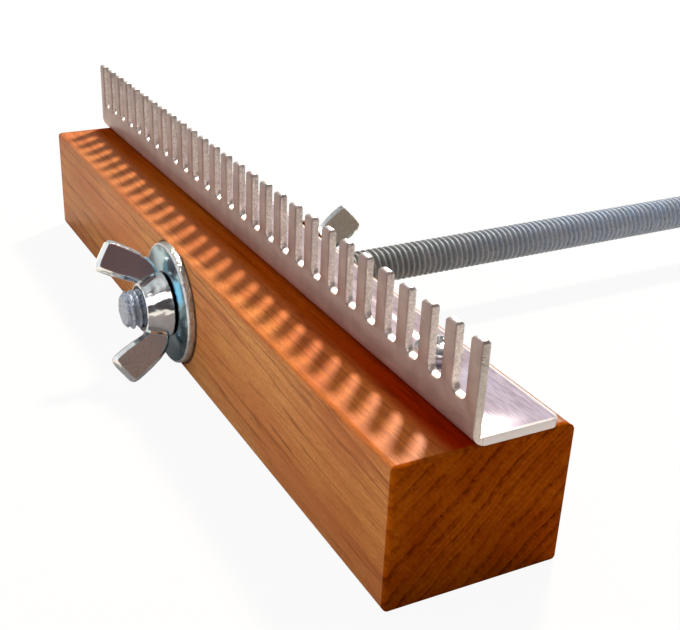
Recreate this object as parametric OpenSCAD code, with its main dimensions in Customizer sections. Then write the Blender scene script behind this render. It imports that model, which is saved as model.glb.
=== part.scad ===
// Small tapestry loom: two wooden beams, each with an aluminium comb, held apart on one
// threaded rod by wing nuts. X runs along the beams, Y along the rod, Z is up.
// The origin is under the middle of the rod, in the plane that the beams stand on.
// All sizes are in millimetres.

/* [Beams] */
// Height of each beam
beam_h = 25.2; // [23:0.1:40]
// Depth of each beam, measured along the rod
beam_d = 31.2; // [30:0.1:50]
// Radius of the eased edges of a beam
beam_edge = 1.3; // [0.5:0.1:3]
// Height of the rod's centre above the underside of the beams
rod_z = 13.1; // [13:0.1:15]

/* [Comb] */
// Number of teeth on each comb
teeth = 28; // [12:1:40]
// Distance from one tooth to the next
tooth_pitch = 6.35; // [5:0.05:8]
// Width of one tooth
tooth_w = 2.5; // [1.5:0.1:3]
// Depth of the slots between the teeth
slot_depth = 10.7; // [6:0.1:13]
// Radius in the bottom corners of a slot
slot_r = 1.5; // [0.5:0.1:1.6]
// Height of the comb above the beam
comb_h = 17; // [16:0.1:25]
// Width of the flange that lies on the beam, with the upright's thickness
flange_w = 15.7; // [15:0.1:17]
// Thickness of the comb's metal
comb_t = 1.5; // [1:0.1:2]
// Outer radius of the bend between upright and flange
heel_r = 2.8; // [1.5:0.1:3.2]
// Radius of the flange's two back corners
flange_corner = 1.5; // [0.5:0.1:3]
// Distance from the beam's outer face to the comb's front face
comb_set = 12.5; // [8:0.1:13]

/* [Comb screws] */
// Distance from a screw to the nearer end of the beam
screw_inset = 24; // [12:0.5:60]
// Distance from the comb's front face to the screws
screw_set = 9.8; // [8:0.1:10.5]
// Diameter of the screw's pan head
head_d = 8; // [6.5:0.1:8.5]
// Height of the screw's pan head
head_h = 2.7; // [2.5:0.1:3.5]
// Diameter of the screw's shank
shank_d = 3; // [2.5:0.1:3.6]
// Length of the screw under its head
screw_l = 16; // [12:0.5:20]
// Width of one arm of the cross recess
recess_w = 1.1; // [0.8:0.1:1.4]
// Length of the cross recess from tip to tip
recess_l = 4.6; // [3.5:0.1:5]
// Depth of the cross recess
recess_depth = 1.6; // [1:0.1:2]
// Diameter of the screw holes in the comb
flange_hole_d = 4.4; // [4:0.1:5]
// Radial room between a shank and its pilot hole
pilot_gap = 0.05; // [0:0.01:0.1]

/* [Rod] */
// Length of the threaded rod
rod_l = 304.8; // [200:0.1:610]
// Diameter over the thread's crests
rod_d = 7.9; // [7.5:0.05:8.1]
// Length of the chamfer at each end of the rod
rod_chamfer = 0.7; // [0.2:0.1:1.5]
// Length of rod that stands out of each outer wing nut
stand_out = 3.5; // [0.5:0.1:20]
// Radial room between the rod and its hole in a beam
beam_gap = 0.1; // [0.05:0.01:0.3]

/* [Washers] */
// Outer diameter of a washer
washer_d = 25; // [20:0.1:26]
// Thickness of a washer
washer_t = 1.6; // [1:0.1:2.5]
// Radial room between the rod and a washer's hole
washer_gap = 0.35; // [0.1:0.05:0.5]

/* [Wing nuts] */
// Height of the hub
hub_h = 5.7; // [5:0.1:8]
// Diameter of the hub at its widest, near the washer
hub_base_d = 13.4; // [13:0.1:16]
// Diameter of the hub's small end
hub_top_d = 10.2; // [9.8:0.1:12.5]
// Height of the bevel round the hub's foot
hub_foot = 0.8; // [0.3:0.1:1.5]
// Depth of the countersink at each mouth of the thread
countersink = 0.5; // [0.2:0.1:0.8]
// Distance from the rod's axis to the outer corner of a wing
wing_reach = 14.2; // [13:0.1:14.3]
// Height of that outer corner above the washer
wing_shoulder = 9.8; // [9:0.1:12]
// Distance from the rod's axis to the inner corner of a wing
wing_inner = 9.4; // [8.5:0.1:10.5]
// Height of that inner corner above the washer
wing_rise = 13.5; // [12.3:0.1:15]
// Thickness of a wing
wing_t = 2.5; // [2:0.1:3]
// Radial room between the thread's crests and the nut's bore
nut_gap = 0.05; // [0.02:0.01:0.1]
// Turn of each outer wing nut from upright
outer_turn = -28; // [-90:1:-28]
// Turn of each inner wing nut from upright
inner_turn = -33; // [-90:1:-28]

/* [Hidden] */
$fn = 64;
// A cut reaches this far past the faces that it opens
past = 1;
rod_r = rod_d / 2;
slot_w = tooth_pitch - tooth_w;
// Each comb runs the whole length of its beam
beam_l = (teeth - 1) * tooth_pitch + tooth_w;
// Outer and inner faces of a beam, as distances from the middle of the rod
beam_out = rod_l / 2 - stand_out - hub_h - washer_t;
beam_in = beam_out - beam_d;
comb_front = beam_out - comb_set;
screw_x = beam_l / 2 - screw_inset;
screw_y = comb_front - screw_set;
// Rounding of the pan head's shoulder
head_round = 1.7;
// Turn of the cross recess from the comb's direction
recess_turn = 20;
// Length of the screw's point
screw_tip = 3;
// How far the wing's lower edge and its end bow out from straight
wing_bow = 1.3;
wing_end_bow = 0.7;
// Length taken off each edge where a wing's corner is rounded
wing_corner = 1.2;
// Points along each curved edge of a wing, and round each of its corners
wing_steps = 8;
corner_steps = 4;

// A box with its underside at z = 0, centred in x and y, and every edge eased by r
module eased_box(l, d, h, r) {
    intersection() {
        translate([0, 0, h / 2]) rotate([90, 0, 90])
            linear_extrude(l, center = true) eased_rectangle(d, h, r);
        translate([0, 0, h / 2]) rotate([90, 0, 0])
            linear_extrude(d, center = true) eased_rectangle(l, h, r);
        linear_extrude(h) eased_rectangle(l, d, r);
    }
}

module eased_rectangle(w, h, r) {
    square([w - 2 * r, h], center = true);
    square([w, h - 2 * r], center = true);
    for (x = [-1, 1], y = [-1, 1])
        translate([x * (w / 2 - r), y * (h / 2 - r)]) circle(r);
}

// Turns a piece of the front end round to the back end
module at_end(back) {
    rotate(back ? 180 : 0) children();
}

// Stands a piece on the rod's axis, drawn with its height pointing away from the beam:
// outwards from distance y, or inwards
module on_rod(y, outwards, turn = 0) {
    translate([0, -y, rod_z]) rotate([0, turn, 0])
        rotate([outwards ? 90 : -90, 0, 0]) children();
}

module threaded_rod() {
    color([0.52, 0.53, 0.54])
        translate([0, 0, rod_z]) rotate([90, 0, 0]) rotate_extrude()
            polygon([
                [0, -rod_l / 2],
                [rod_r - rod_chamfer, -rod_l / 2],
                [rod_r, -rod_l / 2 + rod_chamfer],
                [rod_r, rod_l / 2 - rod_chamfer],
                [rod_r - rod_chamfer, rod_l / 2],
                [0, rod_l / 2]
            ]);
}

module beam(back) {
    color([0.66, 0.36, 0.16]) at_end(back) difference() {
        translate([0, -(beam_out + beam_in) / 2, 0])
            eased_box(beam_l, beam_d, beam_h, beam_edge);
        translate([0, -beam_in + past, rod_z]) rotate([90, 0, 0])
            cylinder(h = beam_d + 2 * past, r = rod_r + beam_gap);
        for (side = [-1, 1])
            translate([side * screw_x, -screw_y, beam_h - (screw_l - comb_t)])
                pilot_hole();
    }
}

module pilot_hole() {
    cylinder(h = screw_l + past, d = shank_d + 2 * pilot_gap);
}

// Section of the comb: an upright and a flange that meet in a rounded heel.
// x is the distance behind the comb's front face, y the height above the beam.
module comb_section() {
    translate([0, heel_r]) square([comb_t, comb_h - heel_r]);
    translate([heel_r, 0]) square([flange_w - heel_r, comb_t]);
    intersection() {
        square(heel_r);
        difference() {
            translate([heel_r, heel_r]) circle(heel_r);
            translate([comb_t, comb_t]) square(heel_r);
        }
    }
}

module slot() {
    bottom = comb_h - slot_depth;
    translate([-slot_w / 2, bottom + slot_r]) square([slot_w, slot_depth]);
    translate([-slot_w / 2 + slot_r, bottom]) square([slot_w - 2 * slot_r, slot_r + past]);
    for (side = [-1, 1])
        translate([side * (slot_w / 2 - slot_r), bottom + slot_r]) circle(slot_r);
}

// Plan of the flange, with its two back corners rounded
module flange_plan() {
    translate([-beam_l / 2, 0]) square([beam_l, flange_w - flange_corner]);
    translate([-beam_l / 2 + flange_corner, 0]) square([beam_l - 2 * flange_corner, flange_w]);
    for (side = [-1, 1])
        translate([side * (beam_l / 2 - flange_corner), flange_w - flange_corner])
            circle(flange_corner);
}

module comb(back) {
    color([0.80, 0.79, 0.80]) at_end(back) translate([0, -comb_front, beam_h]) difference() {
        intersection() {
            rotate([90, 0, 90]) linear_extrude(beam_l, center = true) comb_section();
            linear_extrude(comb_h) flange_plan();
        }
        for (i = [0 : teeth - 2])
            translate([(i - (teeth - 2) / 2) * tooth_pitch, comb_t + past, 0])
                rotate([90, 0, 0]) linear_extrude(comb_t + 2 * past) slot();
        for (side = [-1, 1])
            translate([side * screw_x, screw_set, -past])
                cylinder(h = comb_t + 2 * past, d = flange_hole_d);
    }
}

// A pan-head screw: its head sits on the comb's flange and its shank is in the beam
module comb_screw(back, side) {
    color([0.78, 0.79, 0.80]) at_end(back)
        translate([side * screw_x, -screw_y, beam_h + comb_t]) difference() {
            rotate_extrude() screw_section();
            for (a = [0, 90])
                rotate(a + recess_turn) translate([-recess_l / 2, -recess_w / 2, head_h - recess_depth])
                    cube([recess_l, recess_w, recess_depth + past]);
        }
}

// Half of the screw's section: a pan head with a rounded shoulder, and a pointed shank
module screw_section() {
    square([head_d / 2, head_h - head_round]);
    square([head_d / 2 - head_round, head_h]);
    translate([head_d / 2 - head_round, head_h - head_round]) intersection() {
        circle(head_round);
        square(head_round);
    }
    translate([0, -screw_l + screw_tip]) square([shank_d / 2, screw_l - screw_tip]);
    polygon([[0, -screw_l], [shank_d / 2, -screw_l + screw_tip], [0, -screw_l + screw_tip]]);
}

module washer() {
    color([0.72, 0.74, 0.75]) difference() {
        cylinder(h = washer_t, d = washer_d);
        translate([0, 0, -past])
            cylinder(h = washer_t + 2 * past, r = rod_r + washer_gap);
    }
}

// Point at share t along a curve from a to b that bows out to its left by bow
function bowed(a, b, bow, t) =
    let (along = b - a, side = [-along[1], along[0]] / norm(along))
    a + along * t + side * bow * 4 * t * (1 - t);

// Points that round off a corner, between a point before it and a point after it
function eased(before, corner, after) =
    [for (i = [1 : corner_steps - 1])
        let (t = i / corner_steps)
        before * (1 - t) * (1 - t) + corner * 2 * t * (1 - t) + after * t * t];

// Outline of one wing, x away from the rod's axis and y up from the washer
function wing_outline() =
    let (
        root = [hub_base_d / 2, hub_foot],
        outer = [wing_reach, wing_shoulder],
        inner = [wing_inner, wing_rise],
        top = [hub_top_d / 2, hub_h - countersink],
        cut_lower = wing_corner / norm(outer - root),
        cut_end = wing_corner / norm(inner - outer),
        cut_upper = wing_corner / norm(top - inner),
        lower = [for (i = [0 : wing_steps])
            bowed(root, outer, -wing_bow, (1 - cut_lower) * i / wing_steps)],
        end = [for (i = [0 : wing_steps])
            bowed(outer, inner, -wing_end_bow, cut_end + (1 - 2 * cut_end) * i / wing_steps)],
        upper = inner + (top - inner) * cut_upper
    )
    concat(
        [[0, hub_foot]], lower, eased(lower[wing_steps], outer, end[0]),
        end, eased(end[wing_steps], inner, upper), [upper, top, [0, hub_h - countersink]]
    );

module wing_nut() {
    bore_r = rod_r + nut_gap;
    color([0.74, 0.76, 0.78]) difference() {
        union() {
            rotate_extrude() polygon([
                [0, 0],
                [hub_base_d / 2 - hub_foot, 0],
                [hub_base_d / 2, hub_foot],
                [hub_base_d / 2, 2 * hub_foot],
                [hub_top_d / 2, hub_h],
                [0, hub_h]
            ]);
            for (a = [0, 180])
                rotate(a) translate([0, wing_t / 2, 0]) rotate([90, 0, 0])
                    linear_extrude(wing_t) polygon(wing_outline());
        }
        translate([0, 0, -past]) cylinder(h = wing_rise + 2 * past, r = bore_r);
        translate([0, 0, -past])
            cylinder(h = past + countersink, r1 = bore_r + countersink + past, r2 = bore_r);
        translate([0, 0, hub_h - countersink])
            cylinder(h = past + countersink, r1 = bore_r, r2 = bore_r + countersink + past);
    }
}

module outer_washer(back) {
    at_end(back) on_rod(beam_out, true) washer();
}

module outer_wing_nut(back) {
    at_end(back) on_rod(beam_out + washer_t, true, outer_turn) rotate(90) wing_nut();
}

module inner_washer(back) {
    at_end(back) on_rod(beam_in, false) washer();
}

module inner_wing_nut(back) {
    at_end(back) on_rod(beam_in - washer_t, false, inner_turn) rotate(90) wing_nut();
}

threaded_rod();
beam(false);  // front_beam
comb(false);  // front_comb
comb_screw(false, -1);  // front_comb_screw_left
comb_screw(false, 1);  // front_comb_screw_right
outer_washer(false);  // front_outer_washer
outer_wing_nut(false);  // front_outer_wing_nut
inner_washer(false);  // front_inner_washer
inner_wing_nut(false);  // front_inner_wing_nut
beam(true);  // back_beam
comb(true);  // back_comb
comb_screw(true, 1);  // back_comb_screw_left
comb_screw(true, -1);  // back_comb_screw_right
outer_washer(true);  // back_outer_washer
outer_wing_nut(true);  // back_outer_wing_nut
inner_washer(true);  // back_inner_washer
inner_wing_nut(true);  // back_inner_wing_nut
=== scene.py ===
"""Looks of a small tapestry loom: slotted metal combs on wooden beams, on one threaded rod."""

import math

import bmesh
import bpy
from mathutils import Matrix, Vector


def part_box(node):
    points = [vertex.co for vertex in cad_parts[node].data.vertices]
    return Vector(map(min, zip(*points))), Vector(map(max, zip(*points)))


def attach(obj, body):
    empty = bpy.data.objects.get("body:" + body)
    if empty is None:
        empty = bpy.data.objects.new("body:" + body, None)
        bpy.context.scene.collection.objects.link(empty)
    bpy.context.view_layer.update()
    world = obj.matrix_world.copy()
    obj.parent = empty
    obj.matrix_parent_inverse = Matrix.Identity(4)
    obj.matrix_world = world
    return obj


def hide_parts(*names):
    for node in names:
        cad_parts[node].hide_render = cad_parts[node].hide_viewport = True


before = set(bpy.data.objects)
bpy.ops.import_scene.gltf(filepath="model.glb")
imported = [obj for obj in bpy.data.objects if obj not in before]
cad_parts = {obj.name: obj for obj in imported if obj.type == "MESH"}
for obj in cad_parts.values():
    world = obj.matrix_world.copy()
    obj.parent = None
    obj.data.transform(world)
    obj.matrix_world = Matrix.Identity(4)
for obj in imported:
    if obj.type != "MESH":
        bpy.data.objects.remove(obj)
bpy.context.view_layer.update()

# Threaded rod
# One length of 5/16 inch steel rod with a rolled thread, 18 turns to the inch, plated in dull
# zinc. Both ends are sawn off square and chamfered. It passes through both beams and carries
# the washers and wing nuts.
ROD_LOW, ROD_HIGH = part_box("threaded_rod")
ROD_Z = (ROD_LOW.z + ROD_HIGH.z) / 2
ROD_LENGTH = ROD_HIGH.y - ROD_LOW.y
ROD_CREST = 0.00395
ROD_ROOT = 0.00338
ROD_CHAMFER = 0.0009
THREAD_PITCH = 0.0254 / 18
CREST_START, CREST_END, ROOT_START = 0.32, 0.47, 0.79
THREAD_STEPS = 48
ROD_SMOOTHING = 32
FULL_TURN = 2 * math.pi
TOUCHING = 1e-6
MM = 1000

# where a look begins and where it is full, in millimetres
ROD_TIP = (146.5, 148)
ROD_MIDDLE = (112, 20)
ROOT_TO_CREST = (ROD_ROOT * MM + 0.30, ROD_CREST * MM - 0.03)
SPECK_DEPTH, TIP_DEPTH = 0.00010, 0.00030
ZINC_BY_BEAM = (0.135, 0.15, 0.135)
# the midway colour is a painted bluish sheen
ZINC_MIDWAY_SHEEN = (0.30, 0.38, 0.50)
ZINC_PATCH = (0.42, 0.43, 0.44)
ZINC_TIP = (0.43, 0.50, 0.60)
ZINC_SPECK = (0.09, 0.092, 0.095)
# the crests' colour is a painted highlight
ZINC_CREST_HIGHLIGHT = (0.52, 0.56, 0.60)


def only(*pieces):
    """Leaves edit mode and selects these pieces alone, the last one active."""
    if bpy.context.object and bpy.context.object.mode != "OBJECT":
        bpy.ops.object.mode_set(mode="OBJECT")
    bpy.ops.object.select_all(action="DESELECT")
    for piece in pieces:
        piece.select_set(True)
    bpy.context.view_layer.objects.active = pieces[-1] if pieces else None


def edit(piece, kind="VERT"):
    """Opens a piece in edit mode with nothing selected."""
    only(piece)
    bpy.ops.object.mode_set(mode="EDIT")
    bpy.ops.mesh.select_mode(type=kind)
    bpy.ops.mesh.select_all(action="DESELECT")


def select_all():
    """Selects all of the piece that is in edit mode."""
    bpy.ops.mesh.select_all(action="SELECT")


def finish_with(piece, kind, **settings):
    """Adds a modifier with these settings and applies it."""
    only(piece)
    modifier = piece.modifiers.new(kind.title(), kind)
    for name, value in settings.items():
        setattr(modifier, name, value)
    bpy.ops.object.modifier_apply(modifier=modifier.name)


def line(name, points):
    """A piece that is one line of edges through these points."""
    only()
    bpy.ops.mesh.primitive_plane_add(size=0.001)
    piece = bpy.context.object
    piece.name = name
    edit(piece)
    select_all()
    bpy.ops.mesh.merge(type="CENTER")
    bpy.ops.transform.translate(value=points[0])
    for before, after in zip(points, points[1:]):
        step = [b - a for a, b in zip(before, after)]
        bpy.ops.mesh.extrude_region_move(TRANSFORM_OT_translate={"value": step})
    return piece


def close(piece):
    """Merges doubles and turns all faces outwards."""
    edit(piece)
    select_all()
    bpy.ops.mesh.remove_doubles(threshold=TOUCHING)
    bpy.ops.mesh.normals_make_consistent(inside=False)
    bpy.ops.object.mode_set(mode="OBJECT")


def smooth(piece, degrees):
    """Shades a piece smooth across every edge flatter than this angle."""
    only(piece)
    bpy.ops.object.shade_smooth_by_angle(angle=math.radians(degrees))


def hand_over(piece, body, nodes, material):
    """Gives a finished piece its material and its place in the frame."""
    piece.data.materials.clear()
    piece.data.materials.append(material)
    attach(piece, body)
    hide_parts(*nodes)


def feed(tree, socket, value):
    """Links a value to a socket, or sets the socket. A colour is given as red, green, blue."""
    if isinstance(value, Value):
        tree.links.new(value.output, socket)
    elif socket.type == "RGBA":
        socket.default_value = (*value, 1)
    else:
        socket.default_value = value


class Value:
    """One output of a node. Sums and products of such values add Math nodes."""

    def __init__(self, tree, output):
        self.tree, self.output = tree, output

    def math(self, operation, *values):
        node = self.tree.nodes.new("ShaderNodeMath")
        node.operation = operation
        for socket, value in zip(node.inputs, values):
            feed(self.tree, socket, value)
        return Value(self.tree, node.outputs[0])

    def __add__(self, other):
        return self.math("ADD", self, other)

    def __mul__(self, other):
        return self.math("MULTIPLY", self, other)

    def __sub__(self, other):
        return self.math("SUBTRACT", self, other)

    def __rsub__(self, other):
        return self.math("SUBTRACT", other, self)

    def __truediv__(self, other):
        return self.math("DIVIDE", self, other)

    def __pow__(self, other):
        return self.math("POWER", self, other)

    __radd__, __rmul__ = __add__, __mul__

    def __abs__(self):
        return self.math("ABSOLUTE", self)

    def part(self):
        """What is over the last whole number."""
        return self.math("FRACT", self)

    def whole(self):
        """The last whole number."""
        return self.math("FLOOR", self)

    def ramp(self, low, high):
        """0 below low, 1 above high and a smooth step between. High may be the lower one."""
        node = self.tree.nodes.new("ShaderNodeMapRange")
        node.interpolation_type = "SMOOTHSTEP"
        start, end = (1.0, 0.0) if high < low else (0.0, 1.0)
        for name, value in (("Value", self), ("From Min", min(low, high)),
                            ("From Max", max(low, high)), ("To Min", start), ("To Max", end)):
            feed(self.tree, node.inputs[name], value)
        return Value(self.tree, node.outputs["Result"])


class Finish:
    """A material, or the world, built from nodes."""

    def __init__(self, name, owner=None):
        self.owner = owner or bpy.data.materials.new(name)
        self.owner.use_nodes = True
        self.tree = self.owner.node_tree
        self.tree.nodes.clear()

    def node(self, kind, settings=None, sockets=None, output=0):
        """Adds a node: its settings first, then its sockets' values or links."""
        node = self.tree.nodes.new("ShaderNode" + kind)
        for name, value in (settings or {}).items():
            setattr(node, name, value)
        for name, value in (sockets or {}).items():
            feed(self.tree, node.inputs[name], value)
        return Value(self.tree, node.outputs[output])

    def place(self, *stretch):
        """Place on the piece in millimetres, stretched along x, y and z."""
        raw = self.node("TexCoord", output="Object")
        return self.node("VectorMath", {"operation": "MULTIPLY"},
                         {0: raw, 1: [MM * share for share in stretch]})

    def axes(self):
        """Place on the piece in millimetres, as its three numbers."""
        node = self.tree.nodes.new("ShaderNodeSeparateXYZ")
        feed(self.tree, node.inputs[0], self.place(1, 1, 1))
        return [Value(self.tree, output) for output in node.outputs]

    def join(self, x, y, z):
        """A vector of three numbers."""
        return self.node("CombineXYZ", {}, {0: x, 1: y, 2: z})

    def noise(self, stretch, detail=2.0, shift=0.0, rough=0.5):
        """Noise from 0 to 1. Stretch is the number of features to the millimetre, one for all
        directions or three for x, y and z. Shift moves the pattern off to another part of it."""
        stretch = stretch if isinstance(stretch, tuple) else (stretch, stretch, stretch)
        spot = self.node("VectorMath", {"operation": "ADD"},
                         {0: self.place(*stretch), 1: (shift, shift, shift)})
        return self.node("TexNoise", {"noise_dimensions": "3D"},
                         {"Vector": spot, "Scale": 1.0, "Detail": detail, "Roughness": rough})

    def mix(self, share, first, second, blend="MIX"):
        """A colour between two colours. Like sockets have the same name in a Mix node, so they
        are found by number."""
        return self.node("Mix", {"data_type": "RGBA", "blend_type": blend},
                         {0: share, 6: first, 7: second}, 2)

    def layers(self, colour, *coats):
        """Lays coats over a colour in turn, each given as its share and its own colour."""
        for share, coat in coats:
            colour = self.mix(share, colour, coat)
        return colour

    def along(self, axis, colour, *stops):
        """A colour that changes along an axis, each stop given as its stretch and its colour."""
        return self.layers(colour, *[(axis.ramp(*stretch), stop) for stretch, stop in stops])

    def surface(self, sockets, bumps=()):
        """The Principled shader, with a chain of bumps given as height and depth in metres."""
        normal = None
        for height, depth in bumps:
            links = {"Height": height, "Distance": depth}
            if normal:
                links["Normal"] = normal
            normal = self.node("Bump", {}, links)
        if normal:
            sockets["Normal"] = normal
        self.node_out(self.node("BsdfPrincipled", {}, sockets))
        return self.owner

    def node_out(self, shader, kind="Material"):
        out = self.tree.nodes.new("ShaderNodeOutput" + kind)
        self.tree.links.new(shader.output, out.inputs["Surface"])


def around_rod(x, z):
    """Height over the rod's axis and distance from it, in millimetres."""
    over = z - ROD_Z * MM
    return over, (x * x + over * over) ** 0.5


def dull_zinc():
    """Dull plated steel with a painted highlight on the crests, darker near the beams and with a
    painted bluish sheen in the middle. The cut ends are brighter."""
    zinc = Finish("dull_zinc")
    x, y, z = zinc.axes()
    _, from_axis = around_rod(x, z)
    patches = zinc.noise(0.25, 3.0)
    specks = zinc.noise(1.6, 3.0, 5.0, 0.65)
    tip = abs(y).ramp(*ROD_TIP)
    crest_highlight = from_axis.ramp(*ROOT_TO_CREST)
    # a painted bluish sheen midway and a painted highlight on the thread's crests
    colour = zinc.layers(
        zinc.mix(abs(y).ramp(*ROD_MIDDLE), ZINC_BY_BEAM, ZINC_MIDWAY_SHEEN),
        (patches.ramp(0.3, 0.7) * 0.35, ZINC_PATCH),
        (tip, ZINC_TIP),
        (specks.ramp(0.50, 0.68) * (0.5 + tip * 0.4), ZINC_SPECK),
        (crest_highlight * (1 - tip) * 0.35, ZINC_CREST_HIGHLIGHT))
    return zinc.surface({"Base Color": colour, "Metallic": 0.35 + tip * 0.5,
                         "Roughness": 0.58 + patches * 0.14 - tip * 0.22,
                         "Specular IOR Level": 0.2},
                        [(specks, SPECK_DEPTH), (tip * specks, TIP_DEPTH)])


rod = line("rod_thread", [
    (ROD_ROOT, 0, 0),
    (ROD_CREST, CREST_START * THREAD_PITCH, 0),
    (ROD_CREST, CREST_END * THREAD_PITCH, 0),
    (ROD_ROOT, ROOT_START * THREAD_PITCH, 0),
    (ROD_ROOT, THREAD_PITCH, 0),
])
thread_turns = math.ceil(ROD_LENGTH / THREAD_PITCH) + 2
finish_with(rod, "SCREW", axis="Y", angle=FULL_TURN, screw_offset=THREAD_PITCH,
            iterations=thread_turns, steps=THREAD_STEPS, render_steps=THREAD_STEPS,
            use_merge_vertices=True, merge_threshold=TOUCHING, use_smooth_shade=False)
edit(rod)
select_all()
bpy.ops.mesh.remove_doubles(threshold=TOUCHING)
bpy.ops.transform.translate(value=(0, -thread_turns * THREAD_PITCH / 2, 0))
# two cuts at each end leave points along the chamfer and the third takes off what is too long
for end in (-1, 1):
    for share in (1.0, 0.5, 0.0):
        select_all()
        bpy.ops.mesh.bisect(plane_co=(0, end * (ROD_LENGTH / 2 - share * ROD_CHAMFER), 0),
                            plane_no=(0, end, 0), clear_outer=share == 0, use_fill=share == 0)
close(rod)
for vertex in rod.data.vertices:
    allowed = ROD_CREST - max(0, abs(vertex.co.y) - ROD_LENGTH / 2 + ROD_CHAMFER)
    reach = math.hypot(vertex.co.x, vertex.co.z)
    if reach > allowed:
        vertex.co.x *= allowed / reach
        vertex.co.z *= allowed / reach
rod.data.transform(Matrix.Translation((0, 0, ROD_Z)))
smooth(rod, ROD_SMOOTHING)
hand_over(rod, "rod", ["threaded_rod"], dull_zinc())

# Beams
# Two cherry bars of about 1 by 1 1/4 inch, planed, sanded and oiled, with eased edges. Each has
# one hole through its middle for the rod and two small ones on top for the comb's screws.
BEAM_LOW, BEAM_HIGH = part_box("front_beam")
BEAM_EASE = 0.0009
BEAM_END_EASE = 0.0006
BEAM_WORN = 0.0020
BEAM_EASE_STEPS = 6
BEAM_SMOOTHING = 25
ROD_HOLE_R = 0.00405
ROD_HOLE_DEPTH = 0.05
ROD_HOLE_SIDES = 64
PILOT_R = 0.00155
PILOT_DEPTH = 0.0160
PILOT_SPARE = 0.00005
SCREW_HOLE_SIDES = 32
SHORTEST_RUN = 0.001
HALF_TURN = Matrix.Rotation(math.pi, 4, "Z")

# the pith's place off the bar, in millimetres, how far it slants, and the bar's own pattern
FRONT_PITH, FRONT_SLANT, FRONT_SEED = (-41, -72), 0.035, 0.0
BACK_PITH, BACK_SLANT, BACK_SEED = (214, -60), -0.02, 60.0
YEAR_WIDTH, HAIRLINE_WIDTH, FINE_WIDTH = 2.6, 1.9, 0.93
GRAIN_DEPTH = 0.00006
CHERRY_RED, CHERRY_GOLD = (0.62, 0.190, 0.050), (0.72, 0.290, 0.076)
FIBRE_BROWN, HAIR_BROWN = (0.42, 0.120, 0.022), (0.34, 0.095, 0.018)
MOTTLE_BROWN, LATE_BROWN = (0.44, 0.130, 0.026), (0.34, 0.080, 0.012)
RING_BROWN, GUM_BROWN = (0.27, 0.065, 0.010), (0.22, 0.050, 0.008)
PORE_BROWN = (0.24, 0.060, 0.012)
END_RED, END_BROWN = (0.28, 0.050, 0.0010), (0.37, 0.080, 0.0025)
END_RAY, END_FINE = (0.55, 0.170, 0.020), (0.16, 0.014, 0.0006)
END_SPECK, END_RING = (0.17, 0.020, 0.0006), (0.07, 0.005, 0.0003)
END_SHADE = (0.18, 0.014, 0.0005)
# a thin ring of painted contact shade round each washer's rim
WASHER_CONTACT_SHADE = (0.045, 0.014, 0.004)
# painted light and shade, as tints that multiply the wood's colour, with the stretches of x over
# which they take over: light on the open top and its front rim, darker and redder shade beside
# the comb, shade behind it and on the inner face, and a paler sheen on the outer face that is
# shaded toward both ends
TOP_OPEN_LIGHT = ((0.84, 0.81, 0.99), ((-30, 70), (1.02, 0.80, 0.50)))
TOP_COMB_SHADE = ((0.55, 0.28, 0.09), ((-85, -30), (0.73, 0.52, 0.17)),
               ((-25, 20), (0.64, 0.30, 0.05)), ((30, 72), (0.53, 0.09, 0.012)))
SIDE_OUTER_SHEEN_AND_SHADE = ((1.04, 1.22, 1.36), ((-20, -80), (0.78, 0.78, 0.70)),
              ((45, 84), (0.90, 0.92, 0.84)))
TOP_RIM_LIGHT, TOP_INNER_SHADE, SIDE_INNER_SHADE = (1.10, 1.18, 1.32), (0.52, 0.50, 0.60), (0.64, 0.62, 0.74)
# where a look begins and where it is full, in millimetres: up from the table, off the loom's
# middle, or away from the rod's axis and from the middle of the beam's thickness
ON_TOP = (24.2, 25.0)
BELOW_TOP = (24.9, 24.2)
HIGH_ON_SIDE = (15, 20)
TOP_RIM = (137.2, 139.2)
BEFORE_COMB = (134.6, 130.4)
UNDER_COMB = (113.0, 113.6)
BEHIND_COMB = (120, 119)
INNER_FACE = (112, 111)
END_FACE = (85.8, 86.3)
RING_INSIDE, RING_OUTSIDE = (12.2, 12.5), (13.2, 12.9)
BEAM_MIDDLE, OFF_FACE = 126, (15.2, 15.5)


def block(centre, size):
    """A box round this centre."""
    only()
    bpy.ops.mesh.primitive_cube_add(size=1, location=centre, scale=size)
    bpy.ops.object.transform_apply(location=True, scale=True)
    return bpy.context.object


def cut(piece, tool, operation="DIFFERENCE"):
    """Cuts a piece with a tool, or joins the two, and throws the tool away."""
    finish_with(piece, "BOOLEAN", operation=operation, object=tool, solver="EXACT")
    bpy.data.objects.remove(tool)


def drill(piece, centre, radius, depth, sides, turn=(0, 0, 0)):
    """Cuts a round hole, which is upright unless it is turned."""
    only()
    bpy.ops.mesh.primitive_cylinder_add(vertices=sides, radius=radius, depth=depth,
                                        location=centre, rotation=turn)
    cut(piece, bpy.context.object)


def runs(edge, axis):
    """Whether an edge runs along this axis."""
    start, end = (getattr(vertex.co, axis) for vertex in edge.verts)
    return abs(start - end) > SHORTEST_RUN


def bevel_by_weight(piece, share, **settings):
    """Bevels every edge by its own share of the width."""
    edit(piece, "EDGE")
    mesh = bmesh.from_edit_mesh(piece.data)
    mesh.normal_update()
    weight = mesh.edges.layers.float.new("bevel_weight_edge")
    for edge in mesh.edges:
        edge[weight] = share(edge)
    bmesh.update_edit_mesh(piece.data)
    finish_with(piece, "BEVEL", limit_method="WEIGHT", offset_type="OFFSET", **settings)


def copied(piece, name, turn):
    """A copy with its own mesh, turned or moved by a matrix."""
    twin = piece.copy()
    twin.data = piece.data.copy()
    twin.name = name
    twin.data.transform(turn)
    bpy.context.scene.collection.objects.link(twin)
    return twin


def screw_spot(node):
    """Where a comb screw stands, with the height of its tip."""
    low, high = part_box(node)
    return (low.x + high.x) / 2, (low.y + high.y) / 2, low.z


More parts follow.
